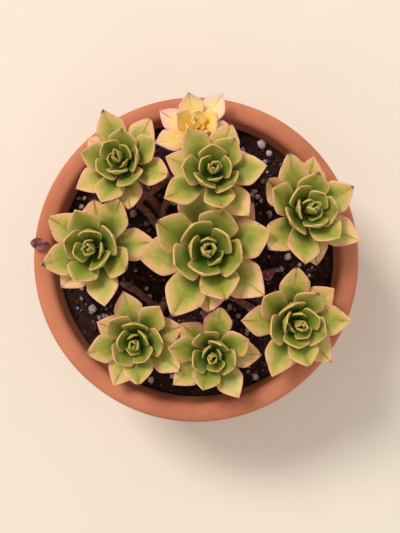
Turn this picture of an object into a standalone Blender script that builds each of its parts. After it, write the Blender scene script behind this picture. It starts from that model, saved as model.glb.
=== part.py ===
"""A cluster of nine aeonium rosettes in a round terracotta pan, in metres, +Z up.

The origin is the middle of the pot's flat underside. Each rosette is a stack of leaf rings on its own
stem: leaves follow one another round the axis by the golden angle, from the lowest and longest blade
to the closed bud at the heart.
"""

import math
import random

import bmesh
import bpy
from mathutils import Matrix, Vector

MM = 0.001

# Pot, in millimetres: the pan's mouth is 210 across and it stands 115 high.
POT_HEIGHT = 115.0
POT_STEPS = 48
POT_FLOOR = 10.0
RIM_OUTER = 105.0
RIM_INNER = 92.0
BAND_FOOT = 85.4
BODY_TOP_RADIUS = 99.4
BASE_RADIUS = 72.5
CAVITY_TOP = (91.0, 98.0)
CAVITY_FOOT = (60.0, POT_FLOOR)
DRAIN_RADIUS = 6.0
DRAIN_CENTRE = 32.0
DRAIN_COUNT = 3

# Soil: fills the cavity to about 16 under the rim, slightly heaped in the middle.
SOIL_MIDDLE = 100.0
SOIL_SIDE = 96.5
GAP = 0.3

# Leaves: one blade is a long eight-sided lens, widest past its middle, cupped and curved upwards.
GOLDEN_ANGLE = 137.5
BLADE_RINGS = (0.03, 0.34, 0.64, 0.85)
WIDEST = 0.63
BLADE_WIDTH = 0.56
BLADE_THICKNESS = 2.0
FOOT_WIDTH = 0.24
RULE_REACH = 45.0

# The stack of collars that the leaves grow from, for a reach of RULE_REACH: foot and top height,
# and the radius at each end.
COLLARS = {
    "outer": (0.0, 4.0, 4.4, 5.0),
    "middle": (4.4, 7.6, 4.4, 3.8),
    "inner": (8.0, 10.9, 3.3, 2.6),
    "heart": (11.4, 13.4, 1.4, 1.0),
}
COLLAR_SIDES = 8
HEART_HEIGHT = 22.0
HEART_LEAVES = 4
OUTER_SHARE = 0.37
MIDDLE_SHARE = 0.70

# Each rosette: the heart's place above the pot in x, y, z, the way it leans and by how much, its longest
# leaf's reach from the axis, the first leaf's bearing, which way round the leaves follow, how many there are below the
# heart, the foot of its stem, and the leaves that stand off the rule:
# {leaf: (turn round the axis, rise, share of the reach)}.
ROSETTES = {
    "top_left": dict(
        heart=(-47.0, 61.0, 153.0), lean_to=135.0, lean=14.0, reach=33.0, first=143.5, way=1, leaves=18,
        foot=(-22.0, 30.0), seed=11,
        off_rule={3: (12, 0, 1.0), 4: (10, 0, 1.0), 8: (10, 0, 1.0)},
    ),
    "yellow": dict(
        heart=(0.0, 83.0, 142.0), lean_to=92.0, lean=18.0, reach=29.0, first=1.0, way=1, leaves=14,
        foot=(-3.0, 52.0), seed=12,
        off_rule={1: (12, 0, 1.0), 2: (0, -4, 0.7), 4: (18, 0, 1.0), 5: (0, 0, 0.8)},
    ),
    "top_middle": dict(
        heart=(10.5, 53.5, 163.0), lean_to=85.0, lean=10.0, reach=34.0, first=21.0, way=1, leaves=17,
        foot=(9.0, 30.0), seed=13,
        off_rule={2: (14, 0, 1.0), 5: (14, 0, 1.0), 7: (16, 0, 1.0), 8: (10, 0, 1.0)},
    ),
    "top_right": dict(
        heart=(69.7, 30.7, 154.0), lean_to=35.0, lean=16.0, reach=37.0, first=142.5, way=1, leaves=19,
        foot=(38.0, 16.0), seed=14,
        off_rule={2: (20, 0, 1.0), 3: (26, -3, 0.94), 6: (12, 0, 1.0), 9: (12, 0, 1.0), 14: (20, 0, 1.0)},
    ),
    "left": dict(
        heart=(-64.3, 6.2, 149.0), lean_to=182.0, lean=12.0, reach=37.0, first=90.0, way=1, leaves=17,
        foot=(-33.0, 5.0), seed=15,
        off_rule={2: (0, -8, 1.0), 12: (12, 0, 1.0), 13: (12, 0, 1.0), 14: (-16, 0, 1.0)},
    ),
    "middle": dict(
        heart=(7.5, 5.7, 159.0), lean_to=80.0, lean=4.0, reach=45.0, first=-89.0, way=1, leaves=18,
        foot=(5.0, 1.0), seed=16, off_rule={9: (0, 0, 0.94)},
    ),
    "bottom_right": dict(
        heart=(62.3, -39.8, 151.0), lean_to=-35.0, lean=12.0, reach=35.0, first=-98.0, way=1, leaves=19,
        foot=(34.0, -22.0), seed=17,
        off_rule={5: (12, 0, 1.0), 13: (16, 0, 1.0)},
    ),
    "bottom_left": dict(
        heart=(-37.9, -51.8, 142.0), lean_to=-125.0, lean=8.0, reach=33.0, first=158.0, way=-1, leaves=17,
        foot=(-20.0, -27.0), seed=18, off_rule={},
    ),
    "bottom_middle": dict(
        heart=(10.4, -59.7, 145.0), lean_to=-85.0, lean=8.0, reach=32.0, first=135.0, way=-1, leaves=15,
        foot=(6.0, -34.0), seed=19, off_rule={},
    ),
}

# Fallen leaves that have dried: place of the foot, bearing, pitch at foot and tip, length, width.
DRY_LEAVES = {
    "dry_leaf_rim": ((-93.0, 9.0, 119.5), 172.0, 4.0, -14.0, 13.0, 8.0),
    "dry_leaf_back": ((-10.0, 37.0, 103.0), 150.0, 35.0, 60.0, 15.0, 9.0),
    "dry_leaf_right": ((52.0, -6.0, 101.5), 215.0, 3.0, 20.0, 13.0, 8.0),
}

# Larger pumice grains on the soil: place and radius.
PUMICE = ((-68.0, -32.0, 3.0), (-30.0, -79.0, 2.8), (39.0, -77.0, 2.6), (43.0, 76.0, 2.8), (60.0, 2.0, 2.6))

STEM_FOOT_RADIUS = 3.2
STEM_TOP_RADIUS = 2.9
STEM_RISE = 12.0
STEM_END = 1.5
STEM_STEPS = 5

COLOURS = {
    "terracotta": ((0.56, 0.19, 0.10, 1.0), 0.85),
    "soil": ((0.035, 0.022, 0.022, 1.0), 0.95),
    "stem": ((0.20, 0.07, 0.06, 1.0), 0.75),
    "outer": ((0.62, 0.47, 0.25, 1.0), 0.5),
    "middle": ((0.42, 0.42, 0.13, 1.0), 0.5),
    "inner": ((0.25, 0.32, 0.08, 1.0), 0.5),
    "heart": ((0.16, 0.26, 0.07, 1.0), 0.5),
    "dry": ((0.25, 0.06, 0.05, 1.0), 0.8),
    "pumice": ((0.55, 0.48, 0.45, 1.0), 0.9),
}


def clear_scene():
    for item in list(bpy.data.objects):
        bpy.data.objects.remove(item, do_unlink=True)


def new_collection(name, hidden=False):
    made = bpy.data.collections.new(name)
    made.hide_render = hidden
    bpy.context.scene.collection.children.link(made)
    return made


def finish(item, finish_name, smooth=True):
    """Gives a finished piece its own material and its shading."""
    colour, roughness = COLOURS[finish_name]
    material = bpy.data.materials.new(item.name)
    material.use_nodes = True
    shader = material.node_tree.nodes["Principled BSDF"]
    shader.inputs["Base Color"].default_value = colour
    shader.inputs["Roughness"].default_value = roughness
    shader.inputs["Metallic"].default_value = 0.0
    material.diffuse_color = colour
    item.data.materials.clear()
    item.data.materials.append(material)
    if item.type == "MESH":
        for face in item.data.polygons:
            face.use_smooth = smooth
    return item


def object_from(shape, name, collection):
    """Puts a bmesh into an object of its own and frees it."""
    bmesh.ops.recalc_face_normals(shape, faces=shape.faces)
    mesh = bpy.data.meshes.new(name)
    shape.to_mesh(mesh)
    shape.free()
    item = bpy.data.objects.new(name, mesh)
    collection.objects.link(item)
    return item


def turned(name, profile, collection):
    """A body turned from its profile, which runs down the outer side, in millimetres."""
    mesh = bpy.data.meshes.new(name)
    points = [(x * MM, 0.0, z * MM) for x, z in profile]
    mesh.from_pydata(points, [(i, i + 1) for i in range(len(points) - 1)], [])
    item = bpy.data.objects.new(name, mesh)
    collection.objects.link(item)
    screw = item.modifiers.new("turn", "SCREW")
    screw.steps = POT_STEPS
    screw.render_steps = POT_STEPS
    screw.use_merge_vertices = True
    screw.merge_threshold = 0.00001
    return item


def baked(item):
    """The object with its modifiers made part of its mesh."""
    graph = bpy.context.evaluated_depsgraph_get()
    mesh = bpy.data.meshes.new_from_object(item.evaluated_get(graph))
    item.modifiers.clear()
    item.data = mesh
    return item


def combine(item, tool, operation):
    """One exact Boolean, applied straight away; the tool is then removed."""
    cut = item.modifiers.new(operation, "BOOLEAN")
    cut.operation = operation
    cut.solver = "EXACT"
    cut.object = tool
    baked(item)
    bpy.data.objects.remove(tool, do_unlink=True)
    return item


def make_pot(parts, cutters):
    inner_x, inner_z = CAVITY_TOP
    foot_x, foot_z = CAVITY_FOOT
    profile = [
        (0.0, foot_z),
        (foot_x, foot_z),
        (inner_x, inner_z),
        (RIM_INNER, POT_HEIGHT - 6.5),
        (RIM_INNER + 1.3, POT_HEIGHT - 2.6),
        (RIM_INNER + 4.2, POT_HEIGHT - 0.4),
        (RIM_INNER + 8.0, POT_HEIGHT),
        (RIM_OUTER - 2.0, POT_HEIGHT - 1.2),
        (RIM_OUTER - 0.3, POT_HEIGHT - 3.6),
        (RIM_OUTER, POT_HEIGHT - 7.0),
        (RIM_OUTER - 1.2, BAND_FOOT + 2.2),
        (RIM_OUTER - 3.0, BAND_FOOT),
        (BODY_TOP_RADIUS, BAND_FOOT - 1.6),
        (BASE_RADIUS, 3.0),
        (BASE_RADIUS - 2.6, 0.0),
        (0.0, 0.0),
    ]
    pot = baked(turned("pot", profile, parts))
    for i in range(DRAIN_COUNT):
        bearing = math.radians(90.0 + i * 360.0 / DRAIN_COUNT)
        shape = bmesh.new()
        bmesh.ops.create_cone(
            shape, cap_ends=True, segments=16, radius1=DRAIN_RADIUS * MM, radius2=DRAIN_RADIUS * MM,
            depth=POT_FLOOR * 2.0 * MM,
        )
        place = Vector((math.cos(bearing), math.sin(bearing), 0.0)) * DRAIN_CENTRE
        place.z = POT_FLOOR / 2.0
        bmesh.ops.translate(shape, verts=shape.verts, vec=place * MM)
        combine(pot, object_from(shape, f"drain_{i}", cutters), "DIFFERENCE")
    return finish(pot, "terracotta")


def soil_height(x, y):
    """Height of the heaped soil at a place, in millimetres."""
    share = min(math.hypot(x, y) / CAVITY_TOP[0], 1.0)
    return SOIL_MIDDLE + (SOIL_SIDE - SOIL_MIDDLE) * share ** 2


def make_soil(parts):
    top_x, top_z = CAVITY_TOP
    foot_x, foot_z = CAVITY_FOOT
    slope = (top_x - foot_x) / (top_z - foot_z)
    clearance = GAP * 1.2
    side_x = top_x + (SOIL_SIDE - top_z) * slope - clearance
    profile = [(0.0, SOIL_MIDDLE)]
    for share in (0.3, 0.6, 0.85):
        profile.append((side_x * share, soil_height(side_x * share, 0.0)))
    profile.append((side_x - 1.5, soil_height(side_x, 0.0)))
    profile.append((side_x - 0.2, SOIL_SIDE - 1.2))
    profile.append((foot_x + slope * GAP - clearance, foot_z + GAP))
    profile.append((0.0, foot_z + GAP))
    return finish(baked(turned("soil", profile, parts)), "soil")


def rosette_frame(plan):
    """Matrix from a rosette's own frame, collar foot at zero and axis up, to the pot's, in millimetres."""
    bearing = math.radians(plan["lean_to"])
    lean = Matrix.Rotation(math.radians(plan["lean"]), 4, Vector((-math.sin(bearing), math.cos(bearing), 0.0)))
    size = plan["reach"] / RULE_REACH
    to_foot = Matrix.Translation(Vector((0.0, 0.0, -HEART_HEIGHT * size)))
    return Matrix.Translation(Vector(plan["heart"])) @ lean @ to_foot


def between(value, low, high):
    """0 below low, 1 above high, and smooth in between."""
    share = max(0.0, min(1.0, (value - low) / (high - low)))
    return share * share * (3.0 - 2.0 * share)


def leaf_reach(share):
    """How far a leaf's tip lies from the axis, as a share of the longest reach: share runs from 0 at the
    lowest leaf to 1 at the last one below the heart."""
    if share < 0.12:
        return 0.85 + 0.15 * share / 0.12
    if share < 0.30:
        return 1.0
    if share < 0.60:
        return 1.0 - 0.46 * (share - 0.30) / 0.30
    return 0.54 - 0.36 * (share - 0.60) / 0.40


def leaf_plans(plan):
    """Every leaf of a rosette from the lowest up, by the golden angle, with a little unevenness."""
    draw = random.Random(plan["seed"])
    count = plan["leaves"]
    size = plan["reach"] / RULE_REACH
    leaves = []
    for i in range(count + HEART_LEAVES):
        share = min(i / (count - 1.0), 1.0)
        if i < count * OUTER_SHARE:
            ring = "outer"
        elif i < count * MIDDLE_SHARE:
            ring = "middle"
        elif i < count:
            ring = "inner"
        else:
            ring = "heart"
        turn, rise, stretch = plan["off_rule"].get(i, (0.0, 0.0, 1.0))
        bearing = plan["first"] + plan["way"] * GOLDEN_ANGLE * i + turn + draw.uniform(-3.0, 3.0)
        foot_pitch = -2.0 + 44.0 * share ** 1.1 + rise + draw.uniform(-1.5, 1.5)
        tip_pitch = 14.0 + 66.0 * between(share, 0.0, 0.85) + rise
        reach = plan["reach"] * leaf_reach(share) * stretch * draw.uniform(0.97, 1.03)
        width = plan["reach"] * BLADE_WIDTH * (1.0 - 0.6 * max(0.0, (share - 0.6) / 0.4) ** 1.3)
        if ring == "heart":
            foot_pitch = 70.0 + 3.0 * (i - count)
            tip_pitch = 90.0
            reach *= 0.52 - 0.08 * (i - count)
            width *= 0.85 - 0.12 * (i - count)
        leaves.append(
            dict(
                ring=ring,
                reach=reach,
                width=width,
                bearing=bearing,
                foot_pitch=foot_pitch,
                tip_pitch=tip_pitch,
                size=size,
                cup=0.14 + 0.22 * share,
            )
        )
    for ring, (low, high, foot_radius, top_radius) in COLLARS.items():
        members = [leaf for leaf in leaves if leaf["ring"] == ring]
        for k, leaf in enumerate(members):
            part = (k + 0.5) / len(members)
            leaf["foot_height"] = (low + 1.2 + (high - low - 2.0) * part) * size
            leaf["foot_radius"] = (foot_radius + (top_radius - foot_radius) * part - 0.8) * size
    for leaf in leaves:
        start = math.radians(leaf["foot_pitch"])
        curl = math.radians(leaf["tip_pitch"] - leaf["foot_pitch"])
        spread = (math.sin(start + curl) - math.sin(start)) / curl
        leaf["length"] = (leaf["reach"] - leaf["foot_radius"]) / spread
    return leaves


def half_width(leaf, along):
    """Half the blade's width at a share of its length."""
    if along < WIDEST:
        share = FOOT_WIDTH + (1.0 - FOOT_WIDTH) * math.sin(math.pi / 2.0 * along / WIDEST) ** 1.2
    else:
        share = 1.0 - ((along - WIDEST) / (1.0 - WIDEST)) ** 1.8
    return leaf["width"] / 2.0 * max(share, 0.0)


def blade_point(leaf, along, across, lift):
    """A place on the blade: across is in millimetres from the midrib, lift off the blade's own plane."""
    start = math.radians(leaf["foot_pitch"])
    curl = math.radians(leaf["tip_pitch"]) - start
    out = leaf["length"] / curl * (math.sin(start + curl * along) - math.sin(start))
    up = leaf["length"] / curl * (math.cos(start) - math.cos(start + curl * along))
    slope = start + curl * along
    out += leaf["foot_radius"] - lift * math.sin(slope)
    up += leaf["foot_height"] + lift * math.cos(slope)
    bearing = math.radians(leaf["bearing"])
    return Vector(
        (
            out * math.cos(bearing) - across * math.sin(bearing),
            out * math.sin(bearing) + across * math.cos(bearing),
            up,
        )
    )


def blade_thickness(leaf, along):
    return BLADE_THICKNESS * leaf["size"] * (0.62 + 1.6 * along - 1.75 * along ** 2)


def add_blade(collection, leaf, frame, name):
    """One blade: a four-sided ball drawn out to the leaf's outline, then cupped and curled."""
    shape = bmesh.new()
    bmesh.ops.create_uvsphere(shape, u_segments=4, v_segments=len(BLADE_RINGS) + 1, radius=1.0)
    levels = sorted({round(vert.co.z, 5) for vert in shape.verts})
    stations = (0.0, *BLADE_RINGS, 1.0)
    for vert in shape.verts:
        along = stations[levels.index(round(vert.co.z, 5))]
        side = math.hypot(vert.co.x, vert.co.y)
        across = 0.0
        lift = 0.0
        if side > 1e-4:
            across = half_width(leaf, along) * round(vert.co.x / side)
            lift = blade_thickness(leaf, along) / 2.0 * round(vert.co.y / side)
            lift += leaf["cup"] * abs(across)
        vert.co = frame @ blade_point(leaf, along, across, lift) * MM
    bmesh.ops.triangulate(shape, faces=shape.faces)
    return object_from(shape, name, collection)


def make_ring(parts, cutters, rosette, ring, leaves, frame, size):
    """A collar and the leaves that grow from it, joined as one body."""
    low, high, foot_radius, top_radius = (value * size for value in COLLARS[ring])
    shape = bmesh.new()
    bmesh.ops.create_cone(
        shape, cap_ends=True, segments=COLLAR_SIDES, radius1=foot_radius * MM, radius2=top_radius * MM,
        depth=(high - low) * MM,
    )
    bmesh.ops.translate(shape, verts=shape.verts, vec=Vector((0.0, 0.0, (low + high) / 2.0 * MM)))
    placed = Matrix.Translation(frame.to_translation() * MM) @ frame.to_3x3().to_4x4()
    bmesh.ops.transform(shape, matrix=placed, verts=shape.verts)
    name = f"{rosette}_{ring}_leaves"
    body = object_from(shape, name, parts)
    for k, leaf in enumerate(leaves):
        combine(body, add_blade(cutters, leaf, frame, f"{name}_{k}"), "UNION")
    return finish(body, ring, smooth=False)


def tube(name, points, radii, parts, finish_name):
    """A round stem along a smooth path, in millimetres."""
    curve = bpy.data.curves.new(name, "CURVE")
    curve.dimensions = "3D"
    curve.bevel_depth = MM
    curve.bevel_resolution = 1
    curve.use_fill_caps = True
    spline = curve.splines.new("POLY")
    spline.points.add(len(points) - 1)
    for point, place, radius in zip(spline.points, points, radii):
        point.co = (*(place * MM), 1.0)
        point.radius = radius
    item = bpy.data.objects.new(name, curve)
    parts.objects.link(item)
    return finish(item, finish_name)


def make_dry_leaf(parts, name):
    """A fallen leaf, dried and curled."""
    place, bearing, foot_pitch, tip_pitch, length, width = DRY_LEAVES[name]
    leaf = dict(
        length=length, width=width, bearing=bearing, foot_pitch=foot_pitch, tip_pitch=tip_pitch, size=0.5,
        cup=0.4, foot_height=0.0, foot_radius=0.0,
    )
    return finish(add_blade(parts, leaf, Matrix.Translation(Vector(place)), name), "dry", smooth=False)


def make_pumice(parts, number, x, y, radius):
    """A rough grain of pumice resting on the soil."""
    draw = random.Random(number)
    shape = bmesh.new()
    bmesh.ops.create_icosphere(shape, subdivisions=1, radius=radius * MM)
    for vert in shape.verts:
        vert.co *= draw.uniform(0.82, 1.0)
    place = Vector((x, y, soil_height(x, y) + GAP + radius))
    bmesh.ops.translate(shape, verts=shape.verts, vec=place * MM)
    return finish(object_from(shape, f"pumice_{number}", parts), "pumice", smooth=False)


def bezier(a, b, c, d, share):
    rest = 1.0 - share
    return a * rest ** 3 + b * 3.0 * rest ** 2 * share + c * 3.0 * rest * share ** 2 + d * share ** 3


def make_stem(parts, rosette, plan, frame):
    """The bare stem from the soil to just under the lowest collar."""
    x, y = plan["foot"]
    foot = Vector((x, y, soil_height(x, y) + 2.0 * GAP))
    axis = frame.to_3x3() @ Vector((0.0, 0.0, 1.0))
    top = frame.to_translation() - axis * 2.0 * GAP
    up = Vector((0.0, 0.0, 1.0))
    low, high = foot + up * STEM_END, top - axis * STEM_END
    points = [
        bezier(low, low + up * STEM_RISE, high - axis * STEM_RISE, high, i / STEM_STEPS)
        for i in range(STEM_STEPS + 1)
    ]
    points = [foot, *points, top]
    size = plan["reach"] / RULE_REACH
    last = len(points) - 1
    radii = [
        (STEM_FOOT_RADIUS + (STEM_TOP_RADIUS - STEM_FOOT_RADIUS) * i / last) * math.sqrt(size)
        for i in range(last + 1)
    ]
    return tube(f"{rosette}_stem", points, radii, parts, "stem")


def make_rosette(parts, cutters, rosette, plan):
    frame = rosette_frame(plan)
    size = plan["reach"] / RULE_REACH
    leaves = leaf_plans(plan)
    make_stem(parts, rosette, plan, frame)
    for ring in COLLARS:
        members = [leaf for leaf in leaves if leaf["ring"] == ring]
        make_ring(parts, cutters, rosette, ring, members, frame, size)


clear_scene()
parts_collection = new_collection("potted_aeonium")
cutter_collection = new_collection("cutters", hidden=True)
make_pot(parts_collection, cutter_collection)
make_soil(parts_collection)
for rosette_name, rosette_plan in ROSETTES.items():
    make_rosette(parts_collection, cutter_collection, rosette_name, rosette_plan)
for dry_name in DRY_LEAVES:
    make_dry_leaf(parts_collection, dry_name)
for grain_number, (grain_x, grain_y, grain_radius) in enumerate(PUMICE, start=1):
    make_pumice(parts_collection, grain_number, grain_x, grain_y, grain_radius)
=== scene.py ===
"""Looks of the potted aeonium: nine succulent rosettes on short stems in a terracotta pan.

Lengths are in millimetres and become metres as each piece is made. The rosettes follow the same rule as
their solids: leaves come one after another round the axis by the golden angle, from the lowest, longest
and oldest blade up to the bud at the heart.
"""

import math
import random

import bpy
from mathutils import Matrix, Vector, noise


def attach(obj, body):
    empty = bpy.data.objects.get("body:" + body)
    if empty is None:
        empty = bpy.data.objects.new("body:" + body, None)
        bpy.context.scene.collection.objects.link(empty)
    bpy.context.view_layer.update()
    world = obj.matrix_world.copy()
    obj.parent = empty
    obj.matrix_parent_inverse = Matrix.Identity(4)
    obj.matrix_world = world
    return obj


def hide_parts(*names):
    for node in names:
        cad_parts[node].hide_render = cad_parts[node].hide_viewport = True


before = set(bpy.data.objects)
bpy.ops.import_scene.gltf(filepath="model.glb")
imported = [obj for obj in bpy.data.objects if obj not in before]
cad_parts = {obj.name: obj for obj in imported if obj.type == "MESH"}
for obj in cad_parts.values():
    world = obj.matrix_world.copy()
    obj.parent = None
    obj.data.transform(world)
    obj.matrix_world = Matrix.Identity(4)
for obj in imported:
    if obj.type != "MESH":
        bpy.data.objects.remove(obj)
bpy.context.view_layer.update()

MM = 0.001

# Pot.
POT_HEIGHT = 115.0
POT_STEPS = 160
POT_FLOOR = 10.0
RIM_OUTER = 105.0
RIM_INNER = 92.0
BAND_FOOT = 85.4
BODY_TOP_RADIUS = 99.4
BASE_RADIUS = 72.5
CAVITY_TOP = (91.0, 98.0)
CAVITY_FOOT = (60.0, POT_FLOOR)
DRAIN_RADIUS = 6.0
DRAIN_CENTRE = 32.0
DRAIN_COUNT = 3
DRAIN_STEPS = 40
BODY_TOP = BAND_FOOT - 1.6
BASE_CHAMFER = 3.0
RIM_ROUND = 6.5
RIM_STEPS = 16
WALL_STEPS = 8

# Soil.
SOIL_MIDDLE = 100.0
SOIL_SIDE = 96.5
SOIL_RINGS = 40
SOIL_STEPS = 120
SOIL_LUMP = 1.1
LUMP_SCALE = 0.28
SOIL_GAP = 0.3
GRIT_COUNT = 2300
PUMICE_COUNT = 170

# Leaves.
GOLDEN_ANGLE = 137.5
WIDEST = 0.63
BLADE_WIDTH = 0.56
BLADE_THICKNESS = 2.2
FOOT_WIDTH = 0.24
RULE_REACH = 45.0
BLADE_ACROSS = 12
BLADE_ALONG = 20
MARGIN_HALF = 0.30
KEEL = 0.30
GROOVE = 0.12
GROOVE_WIDTH = 0.16
TIP_HOOK = 0.11
DRY_CRUMPLE = 1.6
COLLARS = {
    "outer": (0.0, 4.0, 4.4, 5.0),
    "middle": (4.4, 7.6, 4.4, 3.8),
    "inner": (8.0, 10.9, 3.3, 2.6),
    "heart": (11.4, 13.4, 1.4, 1.0),
}
HEART_HEIGHT = 22.0
HEART_LEAVES = 4
OUTER_SHARE = 0.37
MIDDLE_SHARE = 0.70

# Each rosette: the heart's place, the way it leans and by how much, its longest leaf's reach, the first
# leaf's bearing, which way round the leaves follow, how many there are below the heart, the foot of its
# stem, and the leaves that stand off the rule: {leaf: (turn, rise, share of the reach)}.
ROSETTES = {
    "top_left": dict(
        heart=(-47.0, 61.0, 153.0), lean_to=135.0, lean=14.0, reach=33.0, first=143.5, way=1, leaves=18,
        foot=(-22.0, 30.0), seed=11,
        off_rule={3: (12, 0, 1.0), 4: (10, 0, 1.0), 8: (10, 0, 1.0)},
    ),
    "yellow": dict(
        heart=(0.0, 83.0, 142.0), lean_to=92.0, lean=18.0, reach=29.0, first=1.0, way=1, leaves=14,
        foot=(-3.0, 52.0), seed=12,
        off_rule={1: (12, 0, 1.0), 2: (0, -4, 0.7), 4: (18, 0, 1.0), 5: (0, 0, 0.8)},
    ),
    "top_middle": dict(
        heart=(10.5, 53.5, 163.0), lean_to=85.0, lean=10.0, reach=34.0, first=21.0, way=1, leaves=17,
        foot=(9.0, 30.0), seed=13,
        off_rule={2: (14, 0, 1.0), 5: (14, 0, 1.0), 7: (16, 0, 1.0), 8: (10, 0, 1.0)},
    ),
    "top_right": dict(
        heart=(69.7, 30.7, 154.0), lean_to=35.0, lean=16.0, reach=37.0, first=142.5, way=1, leaves=19,
        foot=(38.0, 16.0), seed=14,
        off_rule={2: (20, 0, 1.0), 3: (26, -3, 0.94), 6: (12, 0, 1.0), 9: (12, 0, 1.0), 14: (20, 0, 1.0)},
    ),
    "left": dict(
        heart=(-64.3, 6.2, 149.0), lean_to=182.0, lean=12.0, reach=37.0, first=90.0, way=1, leaves=17,
        foot=(-33.0, 5.0), seed=15,
        off_rule={2: (0, -8, 1.0), 12: (12, 0, 1.0), 13: (12, 0, 1.0), 14: (-16, 0, 1.0)},
    ),
    "middle": dict(
        heart=(7.5, 5.7, 159.0), lean_to=80.0, lean=4.0, reach=45.0, first=-89.0, way=1, leaves=18,
        foot=(5.0, 1.0), seed=16, off_rule={9: (0, 0, 0.94)},
    ),
    "bottom_right": dict(
        heart=(62.3, -39.8, 151.0), lean_to=-35.0, lean=12.0, reach=35.0, first=-98.0, way=1, leaves=19,
        foot=(34.0, -22.0), seed=17,
        off_rule={5: (12, 0, 1.0), 13: (16, 0, 1.0)},
    ),
    "bottom_left": dict(
        heart=(-37.9, -51.8, 142.0), lean_to=-125.0, lean=8.0, reach=33.0, first=158.0, way=-1, leaves=17,
        foot=(-20.0, -27.0), seed=18, off_rule={},
    ),
    "bottom_middle": dict(
        heart=(10.4, -59.7, 145.0), lean_to=-85.0, lean=8.0, reach=32.0, first=135.0, way=-1, leaves=15,
        foot=(6.0, -34.0), seed=19, off_rule={},
    ),
}

# Dried leaves: place of the foot, bearing, pitch at foot and tip, length, width.
DRY_LEAVES = {
    "dry_leaf_rim": ((-93.0, 9.0, 119.5), 172.0, 4.0, -14.0, 13.0, 8.0),
    "dry_leaf_back": ((-10.0, 37.0, 103.0), 150.0, 35.0, 60.0, 15.0, 9.0),
    "dry_leaf_right": ((52.0, -6.0, 101.5), 215.0, 3.0, 20.0, 13.0, 8.0),
}

# The larger pumice grains that have solids: place and radius.
PUMICE = (
    (-68.0, -32.0, 3.0), (-30.0, -79.0, 2.8), (39.0, -77.0, 2.6), (43.0, 76.0, 2.8), (60.0, 2.0, 2.6),
)

# Bare side branches: start, end, radius.
BRANCHES = (
    ((-15.0, 52.0, 120.0), (-38.0, 37.0, 113.0), 2.3),
    ((-38.0, 38.0, 113.0), (-18.0, 14.0, 103.0), 2.5),
    ((-14.0, 45.0, 118.0), (-26.0, 22.0, 103.0), 2.2),
    ((18.0, -22.0, 116.0), (40.0, -33.0, 108.0), 2.3),
    ((-48.0, -14.0, 112.0), (-26.0, -30.0, 102.0), 2.2),
    ((30.0, 34.0, 118.0), (34.0, 8.0, 102.0), 2.1),
)

BRANCH_STEPS = 12
BRANCH_BOW = 3.0

# Stems; the neck inside a rosette is given as heights above the collar's foot, with radii.
STEM_RADIUS = 2.9
STEM_SUNK = 2.5
STEM_NECK = ((3.0, 4.2), (7.0, 3.9), (11.0, 2.4), (13.0, 0.8))
STEM_RISE = 12.0
STEM_STEPS = 26

# Floor, light and camera.
FLOOR_COLOUR = (0.885, 0.760, 0.625)
FLOOR_DARK = (0.875, 0.760, 0.625)
FLOOR_LIGHT = (0.893, 0.778, 0.643)
ROOM_STRENGTH = 0.62
LAMP_WATTS = 80.0
LAMP_SIZE = 1.0
CAMERA_HEIGHT = 735.0
CAMERA_PLACE = (2.4, -4.4)
LENS = 87.0

# Where the marks on a leaf begin and end: shares of its width or length, or levels of noise or chance.
MARGIN_BAND = (0.84, 1.0)
PALE_BAND = (0.36, 0.86)
BLUSH_BAND = (0.62, 1.05)
BLOTCH_BAND = (0.70, 0.95)
BLOTCH_NOISE = (0.54, 0.64)
MIDRIB_BAND = (0.0, 0.17)
STREAK_BAND = (0.52, 0.90)
STREAK_CHANCE = (0.10, 0.55)
DEAD_TIP_BAND = (0.93, 0.99)
DEAD_TIP_CHANCE = (0.45, 0.8)
DEAD_TIP_AGE = (0.1, 0.6)
FRECKLE_NOISE = (0.69, 0.76)
FRECKLE_CHANCE = (0.2, 0.9)
WANDER_SCALE = 140.0
BLOTCH_SCALE = 260.0
FRECKLE_SCALE = 330.0
FINE_SCALE = 900.0

# Colours.
GREEN_LEAF = {
    # The dark green at the foot is partly the leaf's own colour and partly painted shade where the leaves
    # overlap near the heart.
    "foot": (0.030, 0.070, 0.006),
    "flesh": (0.235, 0.290, 0.028),
    "pale": (0.74, 0.56, 0.13),
    "blush": (0.90, 0.43, 0.25),
    "old_margin": (0.90, 0.44, 0.28),
    "young_margin": (0.76, 0.60, 0.18),
    "streak": (0.28, 0.035, 0.018),
    "under": (0.64, 0.40, 0.07),
}
YELLOW_LEAF = {
    "foot": (0.98, 0.62, 0.08),
    "flesh": (0.98, 0.75, 0.20),
    "pale": (0.97, 0.68, 0.40),
    "blush": (0.95, 0.48, 0.46),
    "old_margin": (0.92, 0.42, 0.52),
    "young_margin": (0.98, 0.80, 0.36),
    "streak": (0.45, 0.04, 0.14),
    "under": (0.97, 0.66, 0.28),
}
BLOTCH_COLOUR = (0.50, 0.15, 0.05)
FRECKLE_COLOUR = (0.22, 0.06, 0.03)
DEAD_COLOUR = (0.07, 0.018, 0.015)
PORE_COLOUR = (0.05, 0.08, 0.02)
CLAY_DARK = (0.50, 0.148, 0.064)
CLAY_LIGHT = (0.63, 0.208, 0.102)
CLAY_CHALK = (0.72, 0.36, 0.22)
CLAY_IRON = (0.24, 0.07, 0.04)
# Clay colour laid over the lowest part of the pot, which is darker towards its foot.
CLAY_FOOT_DARK = (0.30, 0.10, 0.06)
GRIT_COLOURS = ((0.020, 0.008, 0.006), (0.150, 0.062, 0.047), (0.46, 0.28, 0.23))
PUMICE_COLOURS = ((0.26, 0.16, 0.13), (0.52, 0.38, 0.33), (0.80, 0.69, 0.62))
BARK_DARK = (0.11, 0.032, 0.026)
BARK_LIGHT = (0.27, 0.095, 0.065)
SCAR_COLOUR = (0.40, 0.20, 0.13)
DRY_DARK = (0.10, 0.016, 0.022)
DRY_LIGHT = (0.42, 0.14, 0.12)
DRY_PAPER = (0.62, 0.42, 0.38)


# ---------------------------------------------------------------- shader helpers

def add_node(tree, kind, **settings):
    made = tree.nodes.new(kind)
    for key, value in settings.items():
        setattr(made, key, value)
    return made


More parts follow.
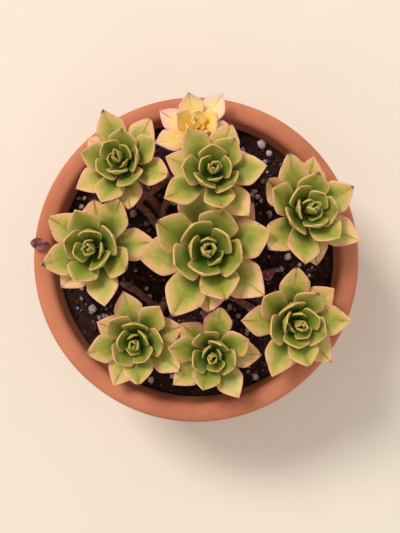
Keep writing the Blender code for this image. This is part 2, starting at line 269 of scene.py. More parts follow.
def feed(tree, socket, value):
    """Links a socket to another, or sets its plain value."""
    if isinstance(value, bpy.types.NodeSocket):
        tree.links.new(value, socket)
    elif hasattr(value, "__len__") and len(value) == 3 and socket.type == "RGBA":
        socket.default_value = (*value, 1.0)
    else:
        socket.default_value = value


def calc(tree, operation, first, second=0.0, third=0.0):
    made = add_node(tree, "ShaderNodeMath", operation=operation)
    for socket, value in zip(made.inputs, (first, second, third)):
        feed(tree, socket, value)
    return made.outputs[0]


def plus(tree, first, second):
    return calc(tree, "ADD", first, second)


def times(tree, first, second):
    return calc(tree, "MULTIPLY", first, second)


def scaled(tree, value, factor, offset):
    return calc(tree, "MULTIPLY_ADD", value, factor, offset)


def soft_step(tree, value, low, high, bottom=0.0, top=1.0):
    made = add_node(tree, "ShaderNodeMapRange", interpolation_type="SMOOTHSTEP")
    feed(tree, made.inputs["Value"], value)
    feed(tree, made.inputs["From Min"], low)
    feed(tree, made.inputs["From Max"], high)
    feed(tree, made.inputs["To Min"], bottom)
    feed(tree, made.inputs["To Max"], top)
    return made.outputs["Result"]


def blend(tree, factor, first, second, how="MIX"):
    made = add_node(tree, "ShaderNodeMix", data_type="RGBA", blend_type=how)
    feed(tree, made.inputs["Factor"], factor)
    feed(tree, made.inputs[6], first)
    feed(tree, made.inputs[7], second)
    return made.outputs[2]


def grain(tree, place, scale, detail=3.0, roughness=0.6):
    made = add_node(tree, "ShaderNodeTexNoise")
    feed(tree, made.inputs["Vector"], place)
    made.inputs["Scale"].default_value = scale
    made.inputs["Detail"].default_value = detail
    made.inputs["Roughness"].default_value = roughness
    return made.outputs[0]


def own_value(tree, name):
    """A value kept on the piece's own mesh."""
    return add_node(tree, "ShaderNodeAttribute", attribute_name=name).outputs["Fac"]


def object_place(tree):
    return add_node(tree, "ShaderNodeTexCoord").outputs["Object"]


def new_group(name, outputs):
    """A node group that puts out named values; returns its tree and its output node."""
    tree = bpy.data.node_groups.new(name, "ShaderNodeTree")
    for socket in outputs:
        tree.interface.new_socket(socket, in_out="OUTPUT", socket_type="NodeSocketFloat")
    return tree, tree.nodes.new("NodeGroupOutput")


def new_material(name, roughness):
    material = bpy.data.materials.new(name)
    material.use_nodes = True
    shader = material.node_tree.nodes["Principled BSDF"]
    shader.inputs["Roughness"].default_value = roughness
    return material, material.node_tree, shader


def roughen(tree, shader, height, distance, strength=0.6):
    """Gives a shader relief from a height."""
    bump = add_node(tree, "ShaderNodeBump")
    bump.inputs["Strength"].default_value = strength
    bump.inputs["Distance"].default_value = distance
    feed(tree, bump.inputs["Height"], height)
    feed(tree, shader.inputs["Normal"], bump.outputs["Normal"])


# ---------------------------------------------------------------- finishes

def leaf_marks_group():
    """Where a leaf's margin, blush, midrib streak and freckles lie, from its own map and values."""
    names = (
        "Along", "Margin", "Pale", "Blush", "Blotches", "Streak", "Dead Tip", "Freckles", "Underside",
        "Youth", "Fine",
    )
    tree, result = new_group("leaf_marks", names)
    split = add_node(tree, "ShaderNodeSeparateXYZ")
    feed(tree, split.inputs[0], add_node(tree, "ShaderNodeUVMap", uv_map="UVMap").outputs[0])
    along = split.outputs["Y"]
    side = calc(tree, "ABSOLUTE", scaled(tree, split.outputs["X"], 2.0, -1.0))
    youth = own_value(tree, "youth")
    age = calc(tree, "SUBTRACT", 1.0, youth)
    chance = own_value(tree, "chance")
    place = object_place(tree)
    wander = scaled(tree, grain(tree, place, WANDER_SCALE), 0.5, -0.25)

    edge = calc(tree, "MAXIMUM", side, calc(tree, "POWER", along, 3.0))
    margin = soft_step(tree, plus(tree, edge, times(tree, wander, 0.4)), *MARGIN_BAND)
    outward = plus(tree, times(tree, calc(tree, "POWER", side, 2.0), 0.42), times(tree, along, 0.62))
    outward = plus(tree, plus(tree, outward, wander), times(tree, age, 0.25))
    pale = times(tree, soft_step(tree, outward, *PALE_BAND), scaled(tree, age, 0.75, 0.25))
    blush = times(tree, soft_step(tree, outward, *BLUSH_BAND), scaled(tree, age, 0.65, 0.30))
    spots = soft_step(tree, grain(tree, place, BLOTCH_SCALE), *BLOTCH_NOISE)
    blotches = times(tree, spots, soft_step(tree, edge, *BLOTCH_BAND))
    blotches = times(tree, blotches, scaled(tree, age, 0.6, 0.35))
    off_midrib = soft_step(tree, plus(tree, side, times(tree, wander, 0.5)), *MIDRIB_BAND)
    midrib = calc(tree, "SUBTRACT", 1.0, off_midrib)
    streak = times(tree, midrib, soft_step(tree, along, *STREAK_BAND))
    streak = times(tree, streak, times(tree, soft_step(tree, chance, *STREAK_CHANCE), age))
    dead = soft_step(tree, plus(tree, along, times(tree, wander, 0.4)), *DEAD_TIP_BAND)
    dead = times(tree, dead, soft_step(tree, chance, *DEAD_TIP_CHANCE))
    dead = times(tree, dead, soft_step(tree, age, *DEAD_TIP_AGE))
    dots = soft_step(tree, grain(tree, place, FRECKLE_SCALE, 2.0), *FRECKLE_NOISE)
    dots = times(tree, dots, times(tree, age, soft_step(tree, chance, *FRECKLE_CHANCE)))
    fine = grain(tree, place, FINE_SCALE, 4.0)
    below = own_value(tree, "underside")
    marks = (along, margin, pale, blush, blotches, streak, dead, dots, below, youth, fine)
    for name, value in zip(names, marks):
        feed(tree, result.inputs[name], value)
    return tree


def leaf_finish(name, marks, colours):
    """A living leaf: a dark foot, partly its own deeper green and partly painted shade under the leaves
    above, then pale, blush, margin, streak and dead tip laid over it.
    """
    material, tree, shader = new_material(name, 0.42)
    shader.inputs["Specular IOR Level"].default_value = 0.3
    mark = add_node(tree, "ShaderNodeGroup", node_tree=marks).outputs
    below = times(tree, mark["Underside"], scaled(tree, mark["Youth"], -0.40, 0.62))
    edge = blend(tree, mark["Youth"], colours["old_margin"], colours["young_margin"])
    layers = (
        (mark["Pale"], colours["pale"]),
        (mark["Blush"], colours["blush"]),
        (times(tree, mark["Margin"], 0.7), edge),
        (below, colours["under"]),
        (times(tree, mark["Blotches"], 0.72), BLOTCH_COLOUR),
        (times(tree, mark["Streak"], 0.85), colours["streak"]),
        (times(tree, mark["Freckles"], 0.7), FRECKLE_COLOUR),
        (mark["Dead Tip"], DEAD_COLOUR),
        (soft_step(tree, mark["Fine"], 0.3, 0.7, 0.05, 0.0), PORE_COLOUR),
    )
    # Dark at the foot, lighter along the blade; on the green leaves the dark foot is partly painted shade
    # between the overlapping leaves.
    colour = blend(tree, soft_step(tree, mark["Along"], 0.16, 0.72), colours["foot"], colours["flesh"])
    for share, laid in layers:
        colour = blend(tree, share, colour, laid)
    feed(tree, shader.inputs["Base Color"], colour)
    feed(tree, shader.inputs["Roughness"], soft_step(tree, mark["Fine"], 0.2, 0.8, 0.36, 0.52))
    roughen(tree, shader, mark["Fine"], 0.0004, 0.35)
    return material


def terracotta_finish():
    """Plain fired clay: cloudy, speckled, darker towards its foot, with faint turning lines."""
    material, tree, shader = new_material("terracotta", 0.85)
    place = object_place(tree)
    cloud = grain(tree, place, 22.0, 5.0)
    speck = grain(tree, place, FINE_SCALE, 3.0)
    iron = grain(tree, place, 420.0, 2.0)
    split = add_node(tree, "ShaderNodeSeparateXYZ")
    feed(tree, split.inputs[0], place)
    height = plus(tree, split.outputs["Z"], times(tree, cloud, 0.012))
    colour = blend(tree, soft_step(tree, cloud, 0.30, 0.72), CLAY_DARK, CLAY_LIGHT)
    colour = blend(tree, soft_step(tree, speck, 0.62, 0.75, 0.0, 0.35), colour, CLAY_CHALK)
    colour = blend(tree, soft_step(tree, iron, 0.68, 0.78, 0.0, 0.5), colour, CLAY_IRON)
    # Darker towards the foot of the pot.
    colour = blend(tree, soft_step(tree, height, 0.012, 0.030, 0.35, 0.0), colour, CLAY_FOOT_DARK)
    feed(tree, shader.inputs["Base Color"], colour)
    feed(tree, shader.inputs["Roughness"], soft_step(tree, cloud, 0.2, 0.8, 0.78, 0.92))
    turning = add_node(tree, "ShaderNodeTexWave", bands_direction="Z")
    feed(tree, turning.inputs["Vector"], place)
    turning.inputs["Scale"].default_value = 120.0
    turning.inputs["Distortion"].default_value = 2.5
    turning.inputs["Detail"].default_value = 2.0
    relief = plus(tree, times(tree, turning.outputs["Fac"], 0.35), speck)
    roughen(tree, shader, relief, 0.0003, 0.5)
    return material


def grit_finish(name, dark, middle, light):
    """Loose grains, each a little different in shade."""
    material, tree, shader = new_material(name, 0.9)
    shader.inputs["Specular IOR Level"].default_value = 0.15
    place = object_place(tree)
    shade = own_value(tree, "shade")
    fine = grain(tree, place, 1100.0, 4.0)
    colour = blend(tree, soft_step(tree, shade, 0.0, 0.7), dark, middle)
    colour = blend(tree, soft_step(tree, shade, 0.72, 1.0), colour, light)
    colour = blend(tree, soft_step(tree, fine, 0.35, 0.7, 0.45, 0.0), colour, dark)
    feed(tree, shader.inputs["Base Color"], colour)
    feed(tree, shader.inputs["Roughness"], soft_step(tree, fine, 0.2, 0.8, 0.80, 0.97))
    roughen(tree, shader, fine, 0.0006, 0.8)
    return material


def stem_finish():
    """Reddish bark, paler where leaves have fallen off."""
    material, tree, shader = new_material("woody_stem", 0.7)
    place = object_place(tree)
    cloud = grain(tree, place, 260.0, 4.0)
    colour = blend(tree, soft_step(tree, cloud, 0.3, 0.7), BARK_DARK, BARK_LIGHT)
    colour = blend(tree, times(tree, own_value(tree, "scar"), 0.7), colour, SCAR_COLOUR)
    feed(tree, shader.inputs["Base Color"], colour)
    feed(tree, shader.inputs["Roughness"], soft_step(tree, cloud, 0.2, 0.8, 0.6, 0.85))
    roughen(tree, shader, grain(tree, place, FINE_SCALE, 4.0), 0.0005, 0.7)
    return material


def dry_finish():
    """A dead leaf: dark red, with papery patches."""
    material, tree, shader = new_material("dried_leaf", 0.8)
    place = object_place(tree)
    cloud = grain(tree, place, 260.0, 4.0)
    colour = blend(tree, soft_step(tree, cloud, 0.35, 0.65), DRY_DARK, DRY_LIGHT)
    colour = blend(tree, soft_step(tree, grain(tree, place, 120.0), 0.56, 0.70), colour, DRY_PAPER)
    feed(tree, shader.inputs["Base Color"], colour)
    feed(tree, shader.inputs["Roughness"], soft_step(tree, cloud, 0.2, 0.8, 0.7, 0.9))
    roughen(tree, shader, grain(tree, place, 700.0, 4.0), 0.0006, 0.8)
    return material


# ---------------------------------------------------------------- modelling helpers

def deselect_all():
    for item in list(bpy.context.selected_objects):
        item.select_set(False)


def choose(piece):
    """Makes one piece the only one selected, and the active one."""
    deselect_all()
    piece.select_set(True)
    bpy.context.view_layer.objects.active = piece


def finished(piece, name, material, replaced):
    """Names a piece, gives it its finish and its place in the frame."""
    piece.name = name
    piece.data.name = name
    piece.data.materials.clear()
    piece.data.materials.append(material)
    for face in piece.data.polygons:
        face.use_smooth = True
        face.material_index = 0
    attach(piece, "root")
    if replaced:
        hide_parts(*replaced)
    return piece


def keep_value(mesh, name, values):
    """Keeps one value a vertex on the mesh for its finish to read."""
    layer = mesh.attributes.new(name, "FLOAT", "POINT")
    layer.data.foreach_set("value", values)


def joined(pieces):
    deselect_all()
    for piece in pieces:
        piece.select_set(True)
    bpy.context.view_layer.objects.active = pieces[0]
    bpy.ops.object.join()
    return bpy.context.view_layer.objects.active


def turned_body(profile, steps):
    """A body turned on the Z axis: a ring is drawn out from radius to radius along the profile."""
    deselect_all()
    radius, height = profile[0]
    bpy.ops.mesh.primitive_circle_add(
        vertices=steps, radius=radius * MM, fill_type="NGON", location=(0.0, 0.0, height * MM),
    )
    body = bpy.context.object
    bpy.ops.object.transform_apply(location=True)
    bpy.ops.object.mode_set(mode="EDIT")
    bpy.ops.mesh.select_mode(type="EDGE")
    bpy.ops.mesh.select_all(action="SELECT")
    bpy.ops.mesh.region_to_loop()
    for next_radius, next_height in profile[1:]:
        bpy.ops.mesh.extrude_edges_move(
            TRANSFORM_OT_translate={"value": (0.0, 0.0, (next_height - height) * MM)}
        )
        share = next_radius / radius
        bpy.ops.transform.resize(
            value=(share, share, 1.0), center_override=(0.0, 0.0, next_height * MM),
        )
        radius, height = next_radius, next_height
    bpy.ops.mesh.edge_face_add()
    bpy.ops.mesh.select_all(action="SELECT")
    bpy.ops.mesh.normals_make_consistent(inside=False)
    bpy.ops.object.mode_set(mode="OBJECT")
    return body


# ---------------------------------------------------------------- pot and soil

def pot_profile():
    """From the cavity's floor up the inside, over the rounded rim and down the outside."""
    inner_x, inner_z = CAVITY_TOP
    foot_x, foot_z = CAVITY_FOOT
    profile = [(foot_x - 4.0, foot_z), (foot_x, foot_z + 1.0)]
    for k in range(1, WALL_STEPS + 1):
        share = k / WALL_STEPS
        profile.append((foot_x + (inner_x - foot_x) * share, foot_z + (inner_z - foot_z) * share))
    profile.append((RIM_INNER, POT_HEIGHT - 7.0))
    middle = (RIM_INNER + RIM_OUTER) / 2.0
    half = (RIM_OUTER - RIM_INNER) / 2.0
    for k in range(1, RIM_STEPS):
        angle = math.pi - math.pi * k / RIM_STEPS
        bulge = math.copysign(abs(math.cos(angle)) ** 0.75, math.cos(angle))
        rise = RIM_ROUND * math.sin(angle) ** 0.85
        profile.append((middle + half * bulge, POT_HEIGHT - RIM_ROUND + rise))
    profile += [(RIM_OUTER, POT_HEIGHT - 7.5), (RIM_OUTER - 0.6, BAND_FOOT + 8.0)]
    profile += [(RIM_OUTER - 1.0, BAND_FOOT + 3.0), (RIM_OUTER - 1.8, BAND_FOOT + 0.9)]
    profile += [(RIM_OUTER - 3.2, BAND_FOOT), (BODY_TOP_RADIUS + 0.8, BAND_FOOT - 0.2)]
    profile.append((BODY_TOP_RADIUS, BODY_TOP))
    for k in range(1, WALL_STEPS + 1):
        share = k / (WALL_STEPS + 1.0)
        radius = BODY_TOP_RADIUS + (BASE_RADIUS - BODY_TOP_RADIUS) * share
        profile.append((radius, BODY_TOP * (1.0 - share) + BASE_CHAMFER * share))
    profile += [(BASE_RADIUS, BASE_CHAMFER), (BASE_RADIUS - 0.5, 1.2)]
    profile += [(BASE_RADIUS - 1.5, 0.3), (BASE_RADIUS - 2.6, 0.0)]
    return profile


def make_pot(material):
    pot = turned_body(pot_profile(), POT_STEPS)
    for k in range(DRAIN_COUNT):
        bearing = math.radians(90.0 + k * 360.0 / DRAIN_COUNT)
        x = math.cos(bearing) * DRAIN_CENTRE * MM
        y = math.sin(bearing) * DRAIN_CENTRE * MM
        deselect_all()
        bpy.ops.mesh.primitive_cylinder_add(
            vertices=DRAIN_STEPS, radius=DRAIN_RADIUS * MM, depth=POT_FLOOR * 2.4 * MM,
            location=(x, y, POT_FLOOR / 2.0 * MM),
        )
        drill = bpy.context.object
        hole = pot.modifiers.new("drain", "BOOLEAN")
        hole.operation = "DIFFERENCE"
        hole.solver = "EXACT"
        hole.object = drill
        choose(pot)
        bpy.ops.object.modifier_apply(modifier="drain")
        bpy.data.objects.remove(drill, do_unlink=True)
    finished(pot, "pot_turned", material, ["pot"])
    choose(pot)
    bpy.ops.object.shade_smooth_by_angle(angle=math.radians(40.0))


def soil_height(x, y):
    share = min(math.hypot(x, y) / CAVITY_TOP[0], 1.0)
    return SOIL_MIDDLE + (SOIL_SIDE - SOIL_MIDDLE) * share ** 2


def cavity_radius(height):
    """The soil's radius at a height: the pot's cavity less a small gap."""
    (top_x, top_z), (foot_x, foot_z) = CAVITY_TOP, CAVITY_FOOT
    return foot_x + (top_x - foot_x) * (height - foot_z) / (top_z - foot_z) - SOIL_GAP


def make_soil(material):
    edge = cavity_radius(SOIL_SIDE - 0.5)
    profile = []
    for k in range(SOIL_RINGS):
        reach = edge * (k + 1) / SOIL_RINGS
        profile.append((reach, soil_height(reach, 0.0)))
    profile += [(cavity_radius(height), height) for height in (80.0, 40.0, POT_FLOOR + 0.4)]
    soil = turned_body(profile, SOIL_STEPS)
    shades = []
    for vert in soil.data.vertices:
        place = vert.co / MM
        lump = noise.fractal(Vector((place.x, place.y, 0.0)) * LUMP_SCALE, 1.0, 2.0, 3)
        if place.z > SOIL_SIDE - 1.0 and math.hypot(place.x, place.y) < edge - 0.5:
            vert.co.z += (lump - 0.35) * SOIL_LUMP * MM
        shades.append(0.15 + 0.25 * lump)
    keep_value(soil.data, "shade", shades)
    finished(soil, "soil_bed", material, ["soil"])


def grain_blank(rounds):
    deselect_all()
    bpy.ops.mesh.primitive_ico_sphere_add(subdivisions=rounds, radius=1.0, location=(0.0, 0.0, 0.0))
    return bpy.context.object


def copied(blank):
    """A copy of a blank with its own mesh."""
    piece = blank.copy()
    piece.data = blank.data.copy()
    bpy.context.scene.collection.objects.link(piece)
    return piece


def rough_grain(blank, place, radius, draw, shade):
    """One copy of the grain blank, knocked out of round."""
    piece = copied(blank)
    angle = draw.uniform(0.0, math.tau)
    axis = Vector((draw.uniform(-1, 1), draw.uniform(-1, 1), 1.0)).normalized()
    turn = Matrix.Rotation(angle, 3, axis)
    squeeze = Vector((draw.uniform(0.7, 1.15), draw.uniform(0.7, 1.15), draw.uniform(0.6, 1.0)))
    seed = Vector((draw.uniform(0, 50), draw.uniform(0, 50), draw.uniform(0, 50)))
    for vert in piece.data.vertices:
        knock = 1.0 + 0.35 * noise.noise(vert.co * 1.4 + seed)
        squeezed = Vector((vert.co.x * squeeze.x, vert.co.y * squeeze.y, vert.co.z * squeeze.z))
        vert.co = (turn @ squeezed * knock * radius + place) * MM
    keep_value(piece.data, "shade", [shade] * len(piece.data.vertices))
    return piece


def make_grit(material):
    """Loose dark grit over the whole soil."""
    draw = random.Random(41)
    blank = grain_blank(1)
    edge = cavity_radius(SOIL_SIDE) - 2.0
    grains = []
    for _ in range(GRIT_COUNT):
        bearing = draw.uniform(0.0, math.tau)
        reach = edge * math.sqrt(draw.random())
        x, y = reach * math.cos(bearing), reach * math.sin(bearing)
        radius = 0.7 + 1.3 * draw.random() ** 2
        place = Vector((x, y, soil_height(x, y) + radius * draw.uniform(-0.1, 0.6)))
        grains.append(rough_grain(blank, place, radius, draw, draw.random() ** 1.25))
    bpy.data.objects.remove(blank, do_unlink=True)
    finished(joined(grains), "soil_grit", material, [])


def make_pumice(material):
    """The large pumice grains, then small ones, which lie mostly towards the rim."""
    draw = random.Random(42)
    blank = grain_blank(2)
    grains = []
    for x, y, radius in PUMICE:
        place = Vector((x, y, soil_height(x, y) + radius * 0.8))
        grains.append(rough_grain(blank, place, radius, draw, 0.9))
    edge = cavity_radius(SOIL_SIDE) - 3.0
    for _ in range(PUMICE_COUNT):
        bearing = draw.uniform(0.0, math.tau)
        reach = edge * draw.random() ** 0.35
        x, y = reach * math.cos(bearing), reach * math.sin(bearing)
        radius = draw.uniform(1.0, 2.3)
        place = Vector((x, y, soil_height(x, y) + radius * 0.55))
        grains.append(rough_grain(blank, place, radius, draw, draw.uniform(0.35, 1.0)))
    bpy.data.objects.remove(blank, do_unlink=True)
    replaced = [f"pumice_{k}" for k in range(1, len(PUMICE) + 1)]
    finished(joined(grains), "pumice_grains", material, replaced)


# ---------------------------------------------------------------- leaves

def between(value, low, high):
    share = max(0.0, min(1.0, (value - low) / (high - low)))
    return share * share * (3.0 - 2.0 * share)


def leaf_reach(share):
    """How far a leaf's tip lies from the axis, as a share of the longest reach."""
    if share < 0.12:
        return 0.85 + 0.15 * share / 0.12
    if share < 0.30:
        return 1.0
    if share < 0.60:
        return 1.0 - 0.46 * (share - 0.30) / 0.30
    return 0.54 - 0.36 * (share - 0.60) / 0.40


def rosette_frame(plan):
    """Matrix from a rosette's own frame, collar foot at zero and axis up, to the pot's, in millimetres."""
    bearing = math.radians(plan["lean_to"])
    hinge = Vector((-math.sin(bearing), math.cos(bearing), 0.0))
    lean = Matrix.Rotation(math.radians(plan["lean"]), 4, hinge)
    size = plan["reach"] / RULE_REACH
    to_foot = Matrix.Translation(Vector((0.0, 0.0, -HEART_HEIGHT * size)))
    return Matrix.Translation(Vector(plan["heart"])) @ lean @ to_foot


def leaf_plans(plan):
    """Every leaf of a rosette from the lowest up, by the golden angle, with a little unevenness."""
    draw = random.Random(plan["seed"])
    count = plan["leaves"]
    size = plan["reach"] / RULE_REACH
    leaves = []
    for i in range(count + HEART_LEAVES):
        share = min(i / (count - 1.0), 1.0)
        if i < count * OUTER_SHARE:
            ring = "outer"
        elif i < count * MIDDLE_SHARE:
            ring = "middle"
        elif i < count:
            ring = "inner"
        else:
            ring = "heart"
        turn, rise, stretch = plan["off_rule"].get(i, (0.0, 0.0, 1.0))
        bearing = plan["first"] + plan["way"] * GOLDEN_ANGLE * i + turn + draw.uniform(-3.0, 3.0)
        foot_pitch = -2.0 + 44.0 * share ** 1.1 + rise + draw.uniform(-1.5, 1.5)
        tip_pitch = 14.0 + 66.0 * between(share, 0.0, 0.85) + rise
        reach = plan["reach"] * leaf_reach(share) * stretch * draw.uniform(0.97, 1.03)
        width = plan["reach"] * BLADE_WIDTH * (1.0 - 0.6 * max(0.0, (share - 0.6) / 0.4) ** 1.3)
        if ring == "heart":
            foot_pitch = 70.0 + 3.0 * (i - count)
            tip_pitch = 90.0
            reach *= 0.52 - 0.08 * (i - count)
            width *= 0.85 - 0.12 * (i - count)
        leaves.append(
            dict(
                ring=ring, reach=reach, width=width, bearing=bearing, foot_pitch=foot_pitch,
                tip_pitch=tip_pitch, size=size, cup=0.14 + 0.22 * share, youth=share,
            )
        )
    for ring, (low, high, foot_radius, top_radius) in COLLARS.items():
        members = [leaf for leaf in leaves if leaf["ring"] == ring]
        for k, leaf in enumerate(members):
            part = (k + 0.5) / len(members)
            leaf["foot_height"] = (low + 1.2 + (high - low - 2.0) * part) * size
            leaf["foot_radius"] = (foot_radius + (top_radius - foot_radius) * part - 0.8) * size
    for leaf in leaves:
        start = math.radians(leaf["foot_pitch"])
        curl = math.radians(leaf["tip_pitch"] - leaf["foot_pitch"])
        spread = (math.sin(start + curl) - math.sin(start)) / curl
        leaf["length"] = (leaf["reach"] - leaf["foot_radius"]) / spread
    return leaves


def half_width(leaf, along):
    if along < WIDEST:
        share = FOOT_WIDTH + (1.0 - FOOT_WIDTH) * math.sin(math.pi / 2.0 * along / WIDEST) ** 1.2
    else:
        share = 1.0 - ((along - WIDEST) / (1.0 - WIDEST)) ** 1.35
    return max(leaf["width"] / 2.0 * share, 0.12)


def blade_point(leaf, along, across, lift):
    """A place on the blade: across is in millimetres from the midrib, lift off the blade's own plane."""
    start = math.radians(leaf["foot_pitch"])
    curl = math.radians(leaf["tip_pitch"]) - start
    out = leaf["length"] / curl * (math.sin(start + curl * along) - math.sin(start))
    up = leaf["length"] / curl * (math.cos(start) - math.cos(start + curl * along))
    slope = start + curl * along
    out += leaf["foot_radius"] - lift * math.sin(slope)
    up += leaf["foot_height"] + lift * math.cos(slope)
    bearing = math.radians(leaf["bearing"])
    return Vector(
        (
            out * math.cos(bearing) - across * math.sin(bearing),
            out * math.sin(bearing) + across * math.cos(bearing),
            up,
        )
    )


def blade_blank():
    """A flat closed slab, two units square: X across the leaf, Y along it, the top face at zero."""
    deselect_all()
    bpy.ops.mesh.primitive_grid_add(
        x_subdivisions=BLADE_ACROSS, y_subdivisions=BLADE_ALONG, size=2.0, location=(0.0, 0.0, 0.0),
    )
    blank = bpy.context.object
    bpy.ops.object.mode_set(mode="EDIT")
    bpy.ops.mesh.select_all(action="SELECT")
    bpy.ops.mesh.extrude_region_move(TRANSFORM_OT_translate={"value": (0.0, 0.0, -1.0)})
    bpy.ops.mesh.select_all(action="SELECT")
    bpy.ops.mesh.normals_make_consistent(inside=False)
    bpy.ops.object.mode_set(mode="OBJECT")
    layer = blank.data.uv_layers["UVMap"]
    for loop in blank.data.loops:
        spot = blank.data.vertices[loop.vertex_index].co
        layer.data[loop.index].uv = (even_across(spot.x) * 0.5 + 0.5, even_along(spot.y))
    return blank


def even_across(value):
    """Draws the rows together towards the margins."""
    return value * (1.5 - 0.5 * value * value)


def even_along(value):
    """Draws the rows together towards the tip."""
    return 1.0 - (0.5 - 0.5 * value) ** 1.35


def shaped_blade(blank, leaf, to_pot, draw, crumple=0.0):
    """One copy of the blank drawn out to a leaf: fleshy, and a little wavy at the margin."""
    piece = copied(blank)
    size = leaf["size"]
    wave = (draw.uniform(0.0, math.tau), draw.uniform(7.0, 11.0), draw.uniform(0.05, 0.16))
    swerve = draw.uniform(-0.05, 0.05)
    hook = draw.uniform(-0.02, 0.04)
    if leaf.get("ring") != "heart":
        hook += TIP_HOOK * leaf.get("youth", 0.0)
    undersides = []
    for vert in piece.data.vertices:
        side, along, below = even_across(vert.co.x), even_along(vert.co.y), vert.co.z < -0.5
        half = half_width(leaf, along)
        body = BLADE_THICKNESS * size * (0.60 + 1.5 * along - 1.75 * along * along)
        full = max(1.0 - abs(side) ** 3.4, 0.0) ** 0.5
        if below:
            lift = -0.5 * body * full - MARGIN_HALF * size
            lift -= KEEL * body * max(0.0, 1.0 - abs(side) * 2.2)
        else:
            lift = 0.5 * body * full + MARGIN_HALF * size
            lift -= GROOVE * body * math.exp(-((side / GROOVE_WIDTH) ** 2))
        lift += leaf["cup"] * half * (math.sqrt(side * side + 0.03) - 0.17)
        ripple = wave[2] * math.sin(along * wave[1] + wave[0] + side * 1.5)
        lift += ripple * side * side * 2.0 * size
        lift += hook * leaf["length"] * along ** 5
        across = side * half + swerve * leaf["length"] * along * along * 0.5
        point = blade_point(leaf, along, across, lift)
        if crumple:
            shake = noise.noise_vector(Vector((side * 1.3, along * 3.0, wave[0] * 5.0)))
            point += shake * crumple * along
        vert.co = to_pot @ point * MM
        undersides.append(1.0 if below else 0.0)
    count = len(undersides)
    keep_value(piece.data, "underside", undersides)
    keep_value(piece.data, "youth", [leaf.get("youth", 0.0)] * count)
    keep_value(piece.data, "chance", [draw.random()] * count)
    return piece


def make_rosette(name, plan, blank, material):
    to_pot = rosette_frame(plan)
    leaves = leaf_plans(plan)
    draw = random.Random(plan["seed"] * 7)
    for ring in COLLARS:
        blades = [shaped_blade(blank, leaf, to_pot, draw) for leaf in leaves if leaf["ring"] == ring]
        finished(
            joined(blades), f"{name}_{ring}_blades", material,
            [f"{name}_{ring}_leaves"],
        )


def make_dry_leaves(blank, material):
    draw = random.Random(57)
    for name, (place, bearing, foot_pitch, tip_pitch, length, width) in DRY_LEAVES.items():
        leaf = dict(
            length=length, width=width, bearing=bearing, foot_pitch=foot_pitch, tip_pitch=tip_pitch,
            size=0.45, cup=0.5, foot_height=0.0, foot_radius=0.0,
        )
        piece = shaped_blade(blank, leaf, Matrix.Translation(Vector(place)), draw, crumple=DRY_CRUMPLE)
        finished(piece, f"{name}_crumpled", material, [name])


# ---------------------------------------------------------------- stems

def bezier(a, b, c, d, share):
    rest = 1.0 - share
    return a * rest ** 3 + b * 3.0 * rest ** 2 * share + c * 3.0 * rest * share ** 2 + d * share ** 3


def tube(route, radii):
    """A closed round tube along a route: a path with a bevel, turned into a mesh."""
    deselect_all()
    bpy.ops.curve.primitive_nurbs_path_add(location=(0.0, 0.0, 0.0))
    path = bpy.context.object
    path.data.splines.clear()
    spline = path.data.splines.new("POLY")
    spline.points.add(len(route) - 1)
    for point, place, radius in zip(spline.points, route, radii):
        point.co = (*(place * MM), 1.0)
        point.radius = radius
    path.data.bevel_depth = MM
    path.data.bevel_resolution = 3
    path.data.use_fill_caps = True
    bpy.ops.object.convert(target="MESH")
    return bpy.context.object


def make_stem(name, plan, material):
    """A woody stem from the soil up through its rosette, ringed by the scars of fallen leaves."""
    draw = random.Random(plan["seed"] * 3)
    x, y = plan["foot"]
    up = Vector((0.0, 0.0, 1.0))
    foot = Vector((x, y, soil_height(x, y) - STEM_SUNK))
    to_pot = rosette_frame(plan)
    size = plan["reach"] / RULE_REACH
    axis = to_pot.to_3x3() @ up
    neck = to_pot.to_translation()
    low, high = foot + up * STEM_RISE, neck - axis * STEM_RISE
    route = [bezier(foot, low, high, neck, k / STEM_STEPS) for k in range(STEM_STEPS + 1)]
    route += [neck + axis * height * size for height, _ in STEM_NECK]
    thinning = [1.12 - 0.12 * k / STEM_STEPS for k in range(STEM_STEPS + 1)]
    radii = [STEM_RADIUS * share * math.sqrt(size) for share in thinning]
    radii += [radius * size for _, radius in STEM_NECK]
    stem = tube(route, radii)
    bpy.ops.object.mode_set(mode="EDIT")
    bpy.ops.mesh.select_all(action="SELECT")
    bpy.ops.mesh.remove_doubles(threshold=0.00001)
    bpy.ops.mesh.subdivide(number_cuts=1)
    bpy.ops.mesh.normals_make_consistent(inside=False)
    bpy.ops.object.mode_set(mode="OBJECT")
    scars = []
    phase = draw.uniform(0.0, math.tau)
    for vert in stem.data.vertices:
        place = vert.co / MM
        scar = between(math.sin(place.z * 1.9 + place.x * 0.5 + phase), 0.55, 0.95)
        knock = noise.noise(place * 0.6) * 0.35 + scar * 0.28
        vert.co += vert.normal * knock * MM
        scars.append(scar)
    keep_value(stem.data, "scar", scars)
    finished(stem, f"{name}_stem_bark", material, [f"{name}_stem"])


def make_branches(material):
    """Bare side branches that cross the soil between the rosettes."""
    draw = random.Random(71)
    up = Vector((0.0, 0.0, 1.0))
    branches = []
    for start, end, radius in BRANCHES:
        route = []
        for k in range(BRANCH_STEPS + 1):
            share = k / BRANCH_STEPS
            place = Vector(start).lerp(Vector(end), share)
            place += up * math.sin(math.pi * share) * BRANCH_BOW
            route.append(place + noise.noise_vector(place * 0.15) * 1.2)
        branches.append(tube(route, [radius * draw.uniform(0.9, 1.1) for _ in route]))
    piece = joined(branches)
    scars = [between(math.sin(vert.co.x / MM * 1.7), 0.6, 0.95) for vert in piece.data.vertices]
    keep_value(piece.data, "scar", scars)
    finished(piece, "side_branches", material, [])


# ---------------------------------------------------------------- the whole

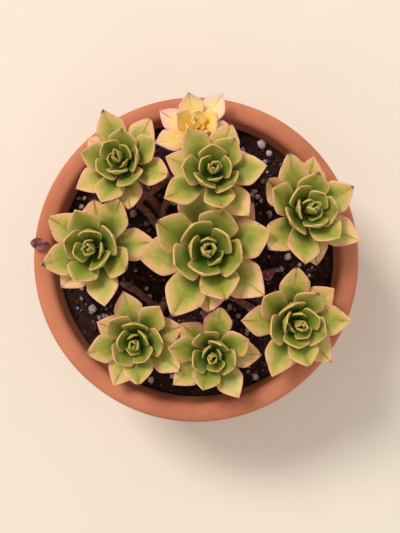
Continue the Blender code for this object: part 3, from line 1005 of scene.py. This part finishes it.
def make_floor():
    deselect_all()
    bpy.ops.mesh.primitive_plane_add(size=6.0, location=(0.0, 0.0, 0.0))
    floor = bpy.context.object
    floor.name = "floor"
    material, tree, shader = new_material("floor", 0.95)
    cloud = grain(tree, object_place(tree), 6.0)
    colour = blend(tree, soft_step(tree, cloud, 0.3, 0.7), FLOOR_DARK, FLOOR_LIGHT)
    feed(tree, shader.inputs["Base Color"], colour)
    shader.inputs["Specular IOR Level"].default_value = 0.1
    floor.data.materials.append(material)


def add_lamp(name, place, aim, energy, size):
    lamp = bpy.data.lights.new(name, "AREA")
    lamp.energy = energy
    lamp.size = size
    item = bpy.data.objects.new(name, lamp)
    item.location = place
    item.rotation_euler = (Vector(aim) - Vector(place)).to_track_quat("-Z", "Y").to_euler()
    bpy.context.scene.collection.objects.link(item)


def make_room():
    """An even white room that is seen, directly or in a reflection, as the floor's own colour."""
    world = bpy.data.worlds.new("soft_room")
    world.use_nodes = True
    tree = world.node_tree
    room = tree.nodes["Background"]
    room.inputs["Color"].default_value = (1.0, 1.0, 1.0, 1.0)
    room.inputs["Strength"].default_value = ROOM_STRENGTH
    seen = add_node(tree, "ShaderNodeBackground")
    seen.inputs["Color"].default_value = (*FLOOR_COLOUR, 1.0)
    rays = add_node(tree, "ShaderNodeLightPath").outputs
    mirrored = calc(tree, "MAXIMUM", rays["Is Glossy Ray"], rays["Is Transmission Ray"])
    looked_at = calc(tree, "MAXIMUM", rays["Is Camera Ray"], mirrored)
    mix = add_node(tree, "ShaderNodeMixShader")
    for socket, value in zip(mix.inputs, (looked_at, room.outputs[0], seen.outputs[0])):
        tree.links.new(value, socket)
    tree.links.new(mix.outputs[0], tree.nodes["World Output"].inputs["Surface"])
    bpy.context.scene.world = world


def make_studio():
    """The room, one soft window lamp and a camera straight above the pot."""
    scene = bpy.context.scene
    make_room()
    add_lamp("window", (-1.5, 1.6, 3.1), (0.0, 0.0, 0.1), LAMP_WATTS, LAMP_SIZE)
    camera = bpy.data.cameras.new("camera")
    camera.sensor_width = 36.0
    camera.sensor_fit = "HORIZONTAL"
    camera.lens = LENS
    item = bpy.data.objects.new("camera", camera)
    item.location = (CAMERA_PLACE[0] * MM, CAMERA_PLACE[1] * MM, CAMERA_HEIGHT * MM)
    scene.collection.objects.link(item)
    scene.camera = item
    scene.view_settings.view_transform = "Standard"


leaf_marks = leaf_marks_group()
green_leaf = leaf_finish("green_leaf", leaf_marks, GREEN_LEAF)
yellow_leaf = leaf_finish("yellow_leaf", leaf_marks, YELLOW_LEAF)
make_pot(terracotta_finish())
grit = grit_finish("soil_grit", *GRIT_COLOURS)
make_soil(grit)
make_grit(grit)
make_pumice(grit_finish("pumice", *PUMICE_COLOURS))
bark = stem_finish()
leaf_blank = blade_blank()
for rosette, rosette_plan in ROSETTES.items():
    make_stem(rosette, rosette_plan, bark)
    if rosette == "yellow":
        make_rosette(rosette, rosette_plan, leaf_blank, yellow_leaf)
    else:
        make_rosette(rosette, rosette_plan, leaf_blank, green_leaf)
make_branches(bark)
make_dry_leaves(leaf_blank, dry_finish())
bpy.data.objects.remove(leaf_blank, do_unlink=True)
make_floor()
make_studio()
